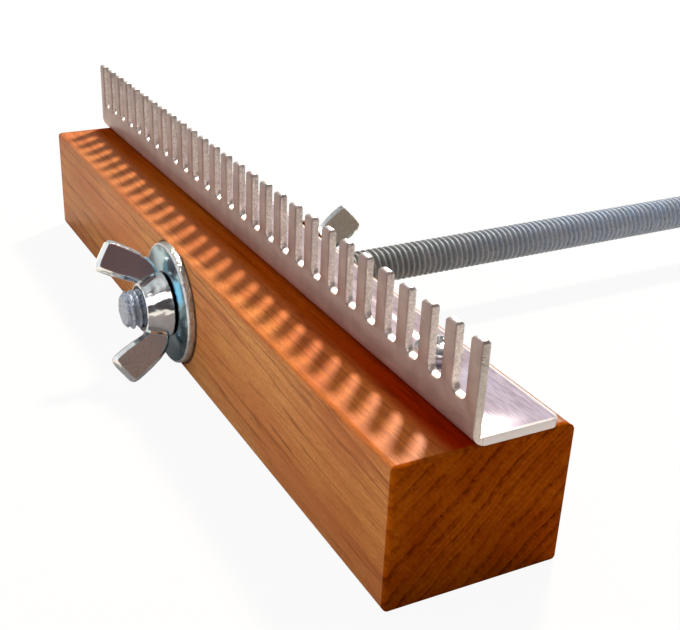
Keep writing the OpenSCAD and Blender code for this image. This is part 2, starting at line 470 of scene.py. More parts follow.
def cherry_light_and_shade(wood, x, y, on_top, by_comb):
    """Painted light and shade on the wood's faces: on top the open strip, the shade by the comb
    and what lies behind it, and on the sides the outer and the inner face."""
    open_top = wood.along(x, *TOP_OPEN_LIGHT)
    open_top = wood.mix(abs(y).ramp(*TOP_RIM), open_top, TOP_RIM_LIGHT, "MULTIPLY")
    open_top = wood.mix(abs(y).ramp(*BEHIND_COMB), open_top, TOP_INNER_SHADE)
    top = wood.mix(by_comb, open_top, wood.along(x, *TOP_COMB_SHADE))
    sides = wood.mix(abs(y).ramp(*INNER_FACE), wood.along(x, *SIDE_OUTER_SHEEN_AND_SHADE), SIDE_INNER_SHADE)
    return wood.mix(on_top, sides, top)


def oiled_cherry(name, pith, slant, seed):
    """Cherry: growth rings round a pith off to one side, fine fibres along X, dark end grain,
    painted light and shade by place on the faces, and a thin dark ring of painted contact shade
    round each washer's rim."""
    wood = Finish(name)
    x, y, z = wood.axes()
    on_top = z.ramp(*ON_TOP)
    # the strip beside the comb, which carries painted shade
    by_comb = abs(y).ramp(*BEFORE_COMB) * abs(y).ramp(*UNDER_COMB)
    end_grain = abs(x).ramp(*END_FACE)

    # growth rings
    sway = wood.noise((0.012, 0.06, 0.06), 2.0, seed)
    waver = wood.noise((0.03, 0.30, 0.30), 2.0, seed + 3)
    across, above = y - pith[0], z - pith[1]
    radius = (across * across + above * above) ** 0.5 + x * slant + sway * 4.5 + waver * 0.4
    years = radius / YEAR_WIDTH
    year_tone = wood.node("TexWhiteNoise", {"noise_dimensions": "1D"}, {"W": years.whole()})
    late = years.part().ramp(0.35, 0.92) * (1 - years.part().ramp(0.94, 1.0))
    hairline = ((radius + waver * 2.4) / HAIRLINE_WIDTH).part()
    thin = hairline.ramp(0.78, 0.92) * (1 - hairline.ramp(0.94, 1.0))
    fine_share = wood.noise((0.02, 0.16, 0.16), 1.0, seed + 5).ramp(0.38, 0.56)
    fine_lines = (radius / FINE_WIDTH).part().ramp(0.30, 0.85) * fine_share

    # where the ring lines show: broken up, in zones, and most of all high on the sides
    high_on_side = z.ramp(*HIGH_ON_SIDE) * z.ramp(*BELOW_TOP)
    broken = wood.noise((0.05, 1.2, 1.2), 2.0, seed + 9).ramp(0.30, 0.60)
    broken = broken + (1 - broken) * high_on_side * 0.75
    zone = wood.noise((0.022, 0.16, 0.16), 2.0, seed + 13).ramp(0.44, 0.54)
    zone = zone + (1 - zone) * high_on_side * 0.8
    lines = late * (0.25 + year_tone * 0.75) * (0.3 + broken * 0.7)

    # fibres, pores and stains
    mottle = wood.noise((1.0, 2.6, 2.6), 2.0, seed + 19, 0.65)
    fibre = wood.noise((0.035, 2.6, 2.6), 3.0, seed + 7, 0.6)
    hair = wood.noise((0.16, 7.0, 7.0), 2.0, seed + 11, 0.6)
    pore = wood.noise((0.22, 4.6, 4.6), 1.0, seed + 17).ramp(0.66, 0.76)
    cloud = wood.noise((0.035, 0.09, 0.09), 3.0, seed + 23)
    gum = wood.noise((0.06, 1.1, 1.1), 2.0, seed + 29).ramp(0.60, 0.70)
    faces = wood.layers(
        wood.mix(cloud.ramp(0.34, 0.66), CHERRY_RED, CHERRY_GOLD),
        (fibre.ramp(0.35, 0.75) * 0.45, FIBRE_BROWN),
        (hair.ramp(0.42, 0.72) * 0.36, HAIR_BROWN),
        (mottle.ramp(0.35, 0.70) * 0.50, MOTTLE_BROWN),
        (lines * 0.58, LATE_BROWN),
        (thin * zone * (0.45 + broken * 0.55) * (0.85 - on_top * 0.38), RING_BROWN),
        (gum * 0.40, GUM_BROWN),
        (pore * 0.60, PORE_BROWN))
    # painted light and shade by place multiply the wood's colour
    faces = wood.mix(1.0, faces, cherry_light_and_shade(wood, x, y, on_top, by_comb), "MULTIPLY")

    # end grain
    flow = wood.join(radius * 0.9, (across + above) * 3.2, x * 0.2)
    rays = wood.node("TexNoise", {"noise_dimensions": "3D"},
                     {"Vector": flow, "Scale": 1.0, "Detail": 1.0})
    speck = wood.noise(1.2, 3.0, seed + 31, 0.7)
    stretch = wood.noise((0.2, 0.28, 0.28), 1.0, seed + 37).ramp(0.35, 0.62)
    end_lines = late * (0.4 + year_tone * 0.6) * (0.4 + speck.ramp(0.60, 0.42) * 0.6)
    ends = wood.layers(
        wood.mix(cloud.ramp(0.3, 0.7), END_RED, END_BROWN),
        (rays.ramp(0.58, 0.74) * 0.22, END_RAY),
        (fine_lines * 0.32, END_FINE),
        (speck.ramp(0.56, 0.40) * 0.25, END_SPECK),
        (end_lines * (0.45 + stretch * 0.5), END_RING),
        (rays.ramp(0.42, 0.28) * 0.35, END_SHADE))

    # a thin ring of painted contact shade round the washer's rim, on both faces of the beam
    _, from_axis = around_rod(x, z)
    washer_contact_shade = (from_axis.ramp(*RING_OUTSIDE) * from_axis.ramp(*RING_INSIDE)
               * abs(abs(y) - BEAM_MIDDLE).ramp(*OFF_FACE))
    colour = wood.layers(faces, (washer_contact_shade * 0.85, WASHER_CONTACT_SHADE), (end_grain, ends))
    return wood.surface({"Base Color": colour,
                         "Roughness": 0.55 + fibre * 0.16 + on_top * by_comb * 0.3,
                         "Specular IOR Level": 0.0, "Coat Roughness": 0.42,
                         "Coat Weight": (1 - on_top * by_comb) * (1 - end_grain) * 0.45},
                        [(fibre * 0.6 + hair * 0.4 - pore * 0.6, GRAIN_DEPTH)])


def beam():
    """The front beam. Its top edge on the inner side is worn rounder than the others."""
    piece = block((BEAM_LOW + BEAM_HIGH) / 2, BEAM_HIGH - BEAM_LOW)

    def eased(edge):
        if all(v.co.z > BEAM_HIGH.z - TOUCHING and v.co.y > BEAM_HIGH.y - TOUCHING
               for v in edge.verts):
            return 1.0
        return (BEAM_EASE if runs(edge, "x") else BEAM_END_EASE) / BEAM_WORN

    bevel_by_weight(piece, eased, width=BEAM_WORN, segments=BEAM_EASE_STEPS)
    drill(piece, (0, (BEAM_LOW.y + BEAM_HIGH.y) / 2, ROD_Z), ROD_HOLE_R, ROD_HOLE_DEPTH,
          ROD_HOLE_SIDES, (math.pi / 2, 0, 0))
    for side in ("left", "right"):
        x, y, tip = screw_spot("front_comb_screw_" + side)
        drill(piece, (x, y, tip + PILOT_DEPTH / 2 - PILOT_SPARE), PILOT_R, PILOT_DEPTH,
              SCREW_HOLE_SIDES)
    close(piece)
    return piece


front_beam = beam()
front_beam.name = "cherry_beam_front"
smooth(front_beam, BEAM_SMOOTHING)
back_beam = copied(front_beam, "cherry_beam_back", HALF_TURN)
hand_over(front_beam, "front_beam", ["front_beam"],
          oiled_cherry("oiled_cherry_front", FRONT_PITH, FRONT_SLANT, FRONT_SEED))
hand_over(back_beam, "back_beam", ["back_beam"],
          oiled_cherry("oiled_cherry_back", BACK_PITH, BACK_SLANT, BACK_SEED))

# Combs
# Two lengths of aluminium angle, 1/16 inch thick and as long as the beams. Slots with round
# bottoms are cut in the upright, 4 to the inch, and the comb is tumbled, which softens every
# edge and most of all the tips of the teeth.
COMB_LOW, COMB_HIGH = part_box("front_comb")
COMB_METAL = 0.0015
COMB_HEEL = 0.0028
COMB_HEEL_STEPS = 8
COMB_SMOOTHING = 35
FLANGE_CORNER = 0.0015
FLANGE_CORNER_STEPS = 6
SLOTS = 27
SLOT_PITCH = 0.00635
SLOT_WIDTH = 0.00385
SLOT_ROUND = 0.0015
SLOT_ROUND_STEPS = 7
SLOT_BOTTOM = COMB_HIGH.z - 0.0107
CUTTER_DEPTH = 0.006
CUTTER_HEIGHT = 0.02
SCREW_HOLE_R = 0.0022
SCREW_HOLE_DEPTH = 0.005
TIP_SOFTENING = 0.0006
RIM_SOFTENING = 0.0004
EDGE_SOFTENING = 0.0002
TIP_STEPS, EDGE_STEPS = 4, 2
TIP_ANGLE, EDGE_ANGLE = math.radians(35), math.radians(50)
FLAT_ANGLE = math.radians(1)
FACING = 0.99
# the flange's rim is softened along its back edge and beyond this distance from the middle
RIM_BACK = COMB_HIGH.y - 0.002
RIM_END = 0.08
RIM_INSET, RIM_REACH = 0.0001, 1e-5

ALUMINIUM_DARK, ALUMINIUM_PALE = (0.66, 0.61, 0.59), (0.78, 0.74, 0.71)
# the rim's pale colour is a painted highlight
DRAWN_LINE, SCORED_LINE, RIM_HIGHLIGHT = (0.50, 0.42, 0.50), (0.28, 0.23, 0.30), (0.84, 0.82, 0.80)
CUT_PIT = (0.48, 0.43, 0.40)
# painted reflection, light and shade, as tints that multiply the metal's colour, with the
# stretches of x or z over which they take over: a mauve reflection on the flange, light on the
# cut faces with shade on the comb's end faces, and shade on the upright's front
FLANGE_REFLECTION = ((0.66, 0.60, 0.68), ((55, 75), (0.58, 0.57, 0.77)))
CUT_LIGHT_AND_SHADE = ((1.20, 1.19, 1.19), ((86.2, 86.8), (0.84, 0.84, 0.83)))
FRONT_SHADE = ((0.52, 0.42, 0.39), ((29.0, 26.2), (0.86, 0.62, 0.58)))
# where a look begins and where it is full, in millimetres up from the table or off the middle
ABOVE_SLOT_BOTTOMS = (30.6, 31.0)
BEHIND_UPRIGHT = (127.5, 127.0)
FRONT_SKIN = (128.7, 129.0)
COMB_END = (86.2, 86.6)
# the flange's painted rim highlight, along its back edge and at its ends
RIM_HIGHLIGHT_BACK, RIM_HIGHLIGHT_END = (114.3, 113.9), (86.3, 86.7)
DRAWN_DEPTH, PIT_DEPTH = 0.00004, 0.00006


def tumbled_aluminium():
    """Pale metal with a fine tumbled grain, drawing marks along X and small dents. The flange is
    scored and less metallic, with a painted mauve reflection and a painted highlight along its
    rim. The upright's front is duller and carries painted shade, and its cut faces carry painted
    light."""
    metal = Finish("tumbled_aluminium")
    x, y, z = metal.axes()
    grain = metal.noise(2.4, 3.0, 2.0, 0.7)
    drawn = metal.noise((0.30, 2.8, 2.8), 3.0, 9.0, 0.65)
    cloud = metal.noise(0.30, 3.0, 21.0)
    dents = metal.noise(1.1, 1.0, 33.0).ramp(0.70, 0.78)
    scored = metal.noise((0.30, 4.5, 4.5), 3.0, 51.0, 0.6)
    flange = abs(y).ramp(*BEHIND_UPRIGHT)
    above_slots = z.ramp(*ABOVE_SLOT_BOTTOMS)
    slots_and_ends = above_slots.math("MAXIMUM", above_slots, abs(x).ramp(*COMB_END))
    cuts = (1 - abs(y).ramp(*FRONT_SKIN) - flange) * slots_and_ends
    front = 1 - flange - cuts
    # a painted highlight along the flange's back edge and at its ends
    rim_highlight = abs(y).ramp(*RIM_HIGHLIGHT_BACK) + abs(x).ramp(*RIM_HIGHLIGHT_END)

    colour = metal.mix(cloud.ramp(0.35, 0.65), ALUMINIUM_DARK, ALUMINIUM_PALE)
    # the flange's mauve tint is a painted reflection
    colour = metal.mix(flange, colour, metal.along(x, *FLANGE_REFLECTION), "MULTIPLY")
    colour = metal.layers(
        colour,
        (drawn.ramp(0.45, 0.65) * (0.2 + flange * 0.5), DRAWN_LINE),
        (scored.ramp(0.47, 0.60) * flange * 0.75, SCORED_LINE),
        (flange * rim_highlight * 0.8, RIM_HIGHLIGHT))
    # painted light on the cut faces, painted shade on the comb's end faces
    colour = metal.mix(cuts, colour, metal.along(abs(x), *CUT_LIGHT_AND_SHADE), "MULTIPLY")
    colour = metal.mix(cuts * grain.ramp(0.42, 0.58) * 0.55, colour, CUT_PIT)
    # painted shade on the upright's front, less of it and redder low down by the heel
    colour = metal.mix(front, colour, metal.along(z, *FRONT_SHADE), "MULTIPLY")
    return metal.surface({"Base Color": colour, "Metallic": 1 - flange * 0.80 - front * 0.45,
                          "Roughness": (0.32 + cuts * (0.06 + grain * 0.12) + front * 0.14
                                        - flange * (0.225 - scored * 0.03))},
                         [(drawn * 0.3, DRAWN_DEPTH),
                          (cuts * grain - dents * (1 - flange), PIT_DEPTH)])


def pick(piece, kind, test):
    """In edit mode, selects the vertices, edges or faces that pass a test, and no others."""
    bpy.ops.mesh.select_mode(type=kind)
    bpy.ops.mesh.select_all(action="DESELECT")
    mesh = bmesh.from_edit_mesh(piece.data)
    mesh.normal_update()
    parts = {"VERT": mesh.verts, "EDGE": mesh.edges, "FACE": mesh.faces}[kind]
    for part in parts:
        if test(part):
            part.select_set(True)
    mesh.select_flush_mode()
    bmesh.update_edit_mesh(piece.data)


def comb():
    """The front comb: an angle with a round heel, its slots, its screw holes, its soft edges."""
    middle, size = (COMB_LOW + COMB_HIGH) / 2, COMB_HIGH - COMB_LOW
    inner_face, flange_top = COMB_LOW.y + COMB_METAL, COMB_LOW.z + COMB_METAL
    piece = block((middle.x, middle.y, COMB_LOW.z + COMB_METAL / 2),
                  (size.x, size.y, COMB_METAL))
    edit(piece)
    select_all()
    bpy.ops.mesh.bisect(plane_co=(0, inner_face, 0), plane_no=(0, 1, 0))
    pick(piece, "FACE", lambda f: f.normal.z > FACING and f.calc_center_median().y < inner_face)
    bpy.ops.mesh.extrude_region_move(
        TRANSFORM_OT_translate={"value": (0, 0, size.z - COMB_METAL)})
    select_all()
    bpy.ops.mesh.dissolve_limited(angle_limit=FLAT_ANGLE)
    pick(piece, "EDGE", lambda e: runs(e, "x") and all(
        v.co.y < COMB_LOW.y + TOUCHING and v.co.z < COMB_LOW.z + TOUCHING for v in e.verts))
    bpy.ops.mesh.bevel(offset=COMB_HEEL, segments=COMB_HEEL_STEPS)
    pick(piece, "EDGE", lambda e: runs(e, "z") and all(
        v.co.y > COMB_HIGH.y - TOUCHING for v in e.verts))
    bpy.ops.mesh.bevel(offset=FLANGE_CORNER, segments=FLANGE_CORNER_STEPS)

    cutter = block((-(SLOTS - 1) / 2 * SLOT_PITCH, COMB_LOW.y + COMB_METAL / 2,
                    SLOT_BOTTOM + CUTTER_HEIGHT / 2), (SLOT_WIDTH, CUTTER_DEPTH, CUTTER_HEIGHT))
    edit(cutter, "EDGE")
    pick(cutter, "EDGE", lambda e: runs(e, "y") and all(
        v.co.z < SLOT_BOTTOM + TOUCHING for v in e.verts))
    bpy.ops.mesh.bevel(offset=SLOT_ROUND, segments=SLOT_ROUND_STEPS)
    finish_with(cutter, "ARRAY", count=SLOTS, use_relative_offset=False,
                use_constant_offset=True, constant_offset_displace=(SLOT_PITCH, 0, 0))
    cut(piece, cutter)
    for side in ("left", "right"):
        x, y, _ = screw_spot("front_comb_screw_" + side)
        drill(piece, (x, y, COMB_LOW.z), SCREW_HOLE_R, SCREW_HOLE_DEPTH, SCREW_HOLE_SIDES)
    close(piece)

    def softened(edge):
        if len(edge.link_faces) != 2 or edge.calc_face_angle() <= TIP_ANGLE:
            return 0.0
        if all(v.co.z > COMB_HIGH.z - TOUCHING for v in edge.verts):
            return 1.0
        at_rim = all(v.co.y > inner_face + RIM_INSET and abs(v.co.z - flange_top) < RIM_REACH
                     and (v.co.y > RIM_BACK or abs(v.co.x) > RIM_END) for v in edge.verts)
        return RIM_SOFTENING / TIP_SOFTENING if at_rim else 0.0

    bevel_by_weight(piece, softened, width=TIP_SOFTENING, segments=TIP_STEPS,
                    use_clamp_overlap=False)
    finish_with(piece, "BEVEL", limit_method="ANGLE", angle_limit=EDGE_ANGLE,
                width=EDGE_SOFTENING, segments=EDGE_STEPS, offset_type="OFFSET")
    return piece


front_comb = comb()
front_comb.name = "aluminium_comb_front"
smooth(front_comb, COMB_SMOOTHING)
back_comb = copied(front_comb, "aluminium_comb_back", HALF_TURN)
comb_finish = tumbled_aluminium()
hand_over(front_comb, "front_beam", ["front_comb"], comb_finish)
hand_over(back_comb, "back_beam", ["back_comb"], comb_finish)

# Comb screws
# Two pan-head steel screws in each comb's flange, with a cross recess and bright zinc plating.
# Their shanks are in the beam.
HEAD_R = 0.004
HEAD_H = 0.0027
HEAD_RIM = 0.0010
HEAD_SIDES = 48
HEAD_DOME = range(0, 86, 9)  # degrees up from the head's rim
HEAD_FOOT = 0.0002
SHANK_R = 0.0015
SHANK_NECK = 0.00005
SHANK_POINT = 0.003
RECESS = (0.0046, 0.0011, 0.0034)
RECESS_TAPER = (0.45, 0.6, 1)
RECESS_TURN = 20
SCREW_EASE = 0.00006
SCREW_ANGLE = math.radians(40)
SCREW_SMOOTHING = 35
SCREW_TURNS = {"left": 0, "right": 25, "front": 0, "back": 190}  # degrees, added up

SCREW_PALE, SCREW_DEEP = (0.72, 0.73, 0.74), (0.56, 0.58, 0.60)
BLOTCH_DEPTH, FINE_DEPTH = 0.00006, 0.00001


def bright_zinc():
    """Shiny plated steel whose tint and gloss vary in soft blotches."""
    zinc = Finish("screw_zinc")
    blotch = zinc.noise(0.30, 2.0, 4.0)
    fine = zinc.noise(2.2, 3.0, 8.0)
    colour = zinc.mix(blotch.ramp(0.40, 0.60), SCREW_PALE, SCREW_DEEP)
    return zinc.surface({"Base Color": colour, "Metallic": 1.0,
                         "Roughness": 0.10 + fine * 0.10 + blotch * 0.04},
                        [(blotch, BLOTCH_DEPTH), (fine, FINE_DEPTH)])


def lathe(name, profile, steps, ring=True):
    """Turns a section, given as radius and height, round the Z axis. A ring's section is closed,
    a solid's runs from the axis to the axis."""
    piece = line(name, [(r, 0, z) for r, z in profile])
    select_all()
    if ring:
        bpy.ops.mesh.edge_face_add()
        bpy.ops.mesh.delete(type="ONLY_FACE")
        select_all()
    bpy.ops.mesh.spin(steps=steps, angle=FULL_TURN, center=(0, 0, 0), axis=(0, 0, 1))
    close(piece)
    return piece


def comb_screw():
    """A screw with its head's foot at height 0."""
    tip = screw_spot("front_comb_screw_left")[2] - COMB_LOW.z - COMB_METAL
    dome = [(HEAD_R * math.cos(a), HEAD_RIM + (HEAD_H - HEAD_RIM) * math.sin(a))
            for a in (math.radians(degrees) for degrees in HEAD_DOME)]
    piece = lathe("comb_screw", [
        (0, tip), (SHANK_R, tip + SHANK_POINT), (SHANK_R, -SHANK_NECK),
        (SHANK_R + 2 * SHANK_NECK, 0), (HEAD_R - HEAD_FOOT, 0), (HEAD_R, HEAD_FOOT),
        *dome, (0, HEAD_H)], HEAD_SIDES, ring=False)
    for quarter in (0, 90):
        bar = block((0, 0, HEAD_H), RECESS)
        edit(bar)
        pick(bar, "VERT", lambda v: v.co.z < HEAD_H)
        bpy.ops.transform.resize(value=RECESS_TAPER, center_override=(0, 0, 0))
        only(bar)
        bar.data.transform(Matrix.Rotation(math.radians(quarter + RECESS_TURN), 4, "Z"))
        cut(piece, bar)
    finish_with(piece, "BEVEL", limit_method="ANGLE", angle_limit=SCREW_ANGLE,
                width=SCREW_EASE, segments=EDGE_STEPS, offset_type="OFFSET")
    smooth(piece, SCREW_SMOOTHING)
    return piece


screw_finish = bright_zinc()
screw_model = comb_screw()
for end in ("front", "back"):
    for side in ("left", "right"):
        node = f"{end}_comb_screw_{side}"
        x, y, _ = screw_spot(node)
        turn = math.radians(SCREW_TURNS[side] + SCREW_TURNS[end])
        screw = copied(screw_model, f"pan_head_screw_{end}_{side}", Matrix.Translation(
            (x, y, COMB_LOW.z + COMB_METAL)) @ Matrix.Rotation(turn, 4, "Z"))
        hand_over(screw, end + "_beam", [node], screw_finish)
bpy.data.objects.remove(screw_model)

# Washers
# Four flat steel washers, one against each face of each beam. They are punched, so one rim is
# rounded and the other is crisp, and plated in bright zinc with a blue cast.
WASHER_R = 0.0125
WASHER_T = 0.0016
WASHER_HOLE_R = 0.0043
WASHER_HOLE_EASE = 0.00015
WASHER_HOLE_BREAK = 0.0002
WASHER_FOOT = 0.0001
# the rounded upper rim, as points in from the rim and down from the top
WASHER_RIM = [(0, 0.0005), (0.00007, 0.00025), (0.00023, 0.00007), (0.00045, 0)]
WASHER_SIDES = 96
WASHER_SMOOTHING = 40
BEAM_OUT, BEAM_IN = -BEAM_LOW.y, -BEAM_HIGH.y

# the glint's and the lower half's colours are painted reflection, the colour round the nut's
# foot painted shade
TEAL, PALE_TEAL, CYAN_GLINT = (0.10, 0.185, 0.225), (0.34, 0.52, 0.60), (0.22, 0.72, 1.0)
LOW_TEAL_REFLECTION, NUT_SHADE = (0.06, 0.085, 0.11), (0.02, 0.03, 0.04)
RIM_BRIGHT, RIM_EDGE, RIM_DING = (0.80, 0.81, 0.81), (0.62, 0.64, 0.60), (0.25, 0.25, 0.27)
# the painted cyan glint's middle, and where a look begins and where it is full, in millimetres
GLINT_X, GLINT_UP = 6.9, 5.2
GLINT_REACH = (3.6, 1.2)
LOWER_HALF = (-4.5, -8.5)
UNDER_NUT = (6.88, 6.68)
RUBBED_RING, RIM_WALL = (11.9, 12.2), (12.42, 12.47)
PATCH_DEPTH, DING_DEPTH = 0.00005, 0.00025


def on_rod(y, outwards, turn=0.0, back=False):
    """Puts a piece drawn round Z on the rod's axis, as the CAD does, at distance y."""
    place = (Matrix.Translation((0, -y, ROD_Z)) @ Matrix.Rotation(math.radians(turn), 4, "Y")
             @ Matrix.Rotation(math.radians(90 if outwards else -90), 4, "X"))
    return HALF_TURN @ place if back else place


def blue_zinc():
    """Blue passivated plate, dark teal with paler patches and worn bright and dinged at the rim.
    A cyan glint and a darker lower half are painted reflection, and the black round the nut's
    foot is painted shade."""
    zinc = Finish("washer_zinc")
    x, _, z = zinc.axes()
    over, from_axis = around_rod(x, z)
    patch = zinc.noise(0.16, 1.0, 11.0)
    fine = zinc.noise(1.6, 3.0, 6.0)
    ding = zinc.noise(1.3, 2.0, 15.0, 0.7)
    # a painted cyan glint at one place on the face
    aside, up = x - GLINT_X, over - GLINT_UP
    glint = ((aside * aside + up * up) ** 0.5).ramp(*GLINT_REACH)
    rim = from_axis.ramp(*RUBBED_RING)
    colour = zinc.layers(
        zinc.mix(patch.ramp(0.42, 0.56), TEAL, PALE_TEAL),
        (glint * 0.85, CYAN_GLINT),
        # the lower half darkened as a painted dark reflection
        (over.ramp(*LOWER_HALF) * 0.75, LOW_TEAL_REFLECTION),
        (from_axis.ramp(*UNDER_NUT), NUT_SHADE),
        (rim, RIM_BRIGHT),
        (from_axis.ramp(*RIM_WALL), RIM_EDGE),
        (rim * ding.ramp(0.56, 0.66) * 0.6, RIM_DING))
    return zinc.surface({"Base Color": colour, "Metallic": 1.0,
                         "Roughness": 0.13 + fine * 0.12 + rim * 0.14},
                        [(patch, PATCH_DEPTH), (rim * ding, DING_DEPTH)])


washer_model = lathe("washer", [
    (WASHER_HOLE_R, WASHER_HOLE_EASE), (WASHER_HOLE_R + WASHER_HOLE_EASE, 0),
    (WASHER_R - WASHER_FOOT, 0), (WASHER_R, WASHER_FOOT),
    *[(WASHER_R - inwards, WASHER_T - down) for inwards, down in WASHER_RIM],
    (WASHER_HOLE_R + WASHER_HOLE_BREAK, WASHER_T),
    (WASHER_HOLE_R, WASHER_T - WASHER_HOLE_BREAK)], WASHER_SIDES)
smooth(washer_model, WASHER_SMOOTHING)
washer_finish = blue_zinc()
for end in ("front", "back"):
    for side, y in (("outer", BEAM_OUT), ("inner", BEAM_IN)):
        node = f"{end}_{side}_washer"
        washer = copied(washer_model, f"zinc_washer_{end}_{side}",
                        on_rod(y, side == "outer", back=end == "back"))
        hand_over(washer, node, [node], washer_finish)
bpy.data.objects.remove(washer_model)

# Wing nuts
# Four forged steel wing nuts in bright zinc, one against each washer. A tapered hub carries two
# flat wings that sweep up and away from the beam, with rounded edges all round.
HUB_STEPS = 24
BORE_R = 0.0040
BORE_CHAMFER = 0.0004
HUB_H = 0.0057
HUB_OUTLINE = [(0.00585, 0), (0.00605, 0.00010), (0.00656, 0.00040), (0.00668, 0.0006),
               (0.00510, 0.00550), (0.00490, 0.00568), (0.00470, HUB_H)]
WING_LAND = 0.0011
WING_DRAFT = ((0.00025, 0.00040), (0.00055, 0.00050))
JUNCTION_EASE = 0.00035
JUNCTION_STEPS = 2
JUNCTION_ANGLE = math.radians(30)
NUT_SMOOTHING = 25
OUTER_TURN, INNER_TURN = -28, -33
WING_OUTLINE = [
    # distance from the rod's axis and height above the washer, half way through the thickness
    (0.00410, 0.00085), (0.00680, 0.00075), (0.00845, 0.00130), (0.00985, 0.00230),
    (0.01105, 0.00365), (0.01240, 0.00560), (0.01355, 0.00750), (0.01420, 0.00870),
    (0.01450, 0.00960), (0.01420, 0.01030), (0.01320, 0.01105), (0.01200, 0.01190),
    (0.01090, 0.01265), (0.01000, 0.01310), (0.00930, 0.01320), (0.00870, 0.01275),
    (0.00825, 0.01200), (0.00740, 0.01050), (0.00650, 0.00860), (0.00585, 0.00700),
    (0.00535, 0.00590), (0.00410, 0.00490),
]

NUT_PALE, NUT_DEEP = (0.93, 0.97, 0.96), (0.78, 0.83, 0.84)
# the flats' colours are painted reflection
LOWER_FLAT_REFLECTION, FLAT_SPECK = (0.49, 0.455, 0.445), (0.20, 0.15, 0.15)
OUTER_FLAT_REFLECTION, INNER_FLAT_REFLECTION = (0.29, 0.20, 0.215), (0.50, 0.45, 0.37)
# the hub's cone, and where a look begins and where it is full, in millimetres
CONE_FOOT, CONE_TAPER = 6.88, 0.322
ON_FLAT, OFF_FLAT = (1.34, 1.42), (1.62, 1.52)
BEYOND_CONE = (0.20, 0.45)
FOOT_SHADE, IN_BORE = (0.30, 0.14), (4.74, 4.62)
LOWER_TO_UPPER = (-7, 7)
DIMPLE_DEPTH = 0.00028


def wing(side):
    """One wing as a plate in the X-Z plane, on the +X or the -X side of the hub. Its edges are
    drafted from a narrow land half way through to both flat faces."""
    piece = line("wing", [(side * r, -WING_LAND / 2, z) for r, z in WING_OUTLINE])
    select_all()
    bpy.ops.mesh.edge_face_add()
    bpy.ops.mesh.extrude_region_move(TRANSFORM_OT_translate={"value": (0, WING_LAND, 0)})
    close(piece)
    edit(piece)
    pick(piece, "FACE", lambda f: abs(f.normal.y) > FACING)
    for inwards, outwards in WING_DRAFT:
        bpy.ops.mesh.inset(thickness=inwards, depth=outwards, use_individual=True)
    close(piece)
    return piece


def wing_nut():
    """A wing nut with its foot at height 0. Its hollow edges beside the flats are eased."""
    piece = lathe("wing_nut", [
        (BORE_R, BORE_CHAMFER), (BORE_R + BORE_CHAMFER, 0), *HUB_OUTLINE,
        (BORE_R + BORE_CHAMFER, HUB_H), (BORE_R, HUB_H - BORE_CHAMFER)], HUB_STEPS)
    piece.data.transform(Matrix.Rotation(math.pi / HUB_STEPS, 4, "Z"))
    for side in (1, -1):
        cut(piece, wing(side), "UNION")
    close(piece)

    def junction(edge):
        hollow = (len(edge.link_faces) == 2 and edge.calc_face_angle() > JUNCTION_ANGLE
                  and not edge.is_convex)
        return float(hollow and any(abs(f.normal.y) > FACING for f in edge.link_faces))

    bevel_by_weight(piece, junction, width=JUNCTION_EASE, segments=JUNCTION_STEPS)
    smooth(piece, NUT_SMOOTHING)
    return piece


def forged_zinc(name, turn, upper_reflection):
    """Bright plate, duller on the flats of the wings, which are turned by this many degrees. The
    flats carry a painted brown reflection with its own colour on the upper wing, and painted
    shade darkens the foot and the mouth of the bore."""
    zinc = Finish(name)
    x, y, z = zinc.axes()
    over, from_axis = around_rod(x, z)
    angle = math.radians(turn)
    across = abs(x * math.cos(angle) - over * math.sin(angle))
    from_beam = abs(abs(y) - (BEAM_OUT + BEAM_IN) / 2 * MM) - (BEAM_OUT - BEAM_IN) / 2 * MM
    height = from_beam - WASHER_T * MM
    from_cone = from_axis + height * CONE_TAPER - CONE_FOOT
    flats = across.ramp(*ON_FLAT) * across.ramp(*OFF_FLAT) * from_cone.ramp(*BEYOND_CONE)
    mouth = from_axis.ramp(*IN_BORE)
    blotch = zinc.noise(0.22, 2.0, 4.0)
    dimples = zinc.noise(0.42, 1.0, 4.0)
    fine = zinc.noise(2.2, 3.0, 8.0)
    # a painted brown reflection on the flats, with its own colour on the upper wing
    flat = zinc.layers(LOWER_FLAT_REFLECTION, (over.ramp(*LOWER_TO_UPPER), upper_reflection),
                       (fine.ramp(0.45, 0.70) * 0.35, FLAT_SPECK))
    colour = zinc.layers(
        zinc.mix(blotch.ramp(0.40, 0.60), NUT_PALE, NUT_DEEP),
        (flats, flat),
        # painted shade at the foot and in the mouth of the bore
        (mouth + height.ramp(*FOOT_SHADE) * 0.9, NUT_SHADE))
    return zinc.surface({"Base Color": colour, "Metallic": 1 - flats * 0.6 - mouth * 0.5,
                         "Roughness": 0.09 + fine * 0.06 + flats * 0.26},
                        [(dimples * (1 - flats), DIMPLE_DEPTH), (fine, FINE_DEPTH)])


nut_model = wing_nut()
for end in ("front", "back"):
    for side, y, turn, upper_reflection in (
            ("outer", BEAM_OUT + WASHER_T, OUTER_TURN, OUTER_FLAT_REFLECTION),
            ("inner", BEAM_IN - WASHER_T, INNER_TURN, INNER_FLAT_REFLECTION)):
        nut = copied(nut_model, f"wing_nut_{end}_{side}",
                     on_rod(y, side == "outer", turn, end == "back")
                     @ Matrix.Rotation(math.pi / 2, 4, "Z"))
        finish = forged_zinc(f"nut_zinc_{end}_{side}", -turn if end == "back" else turn,
                             upper_reflection)
        hand_over(nut, f"{end}_{side}_nut", [f"{end}_{side}_wing_nut"], finish)
bpy.data.objects.remove(nut_model)

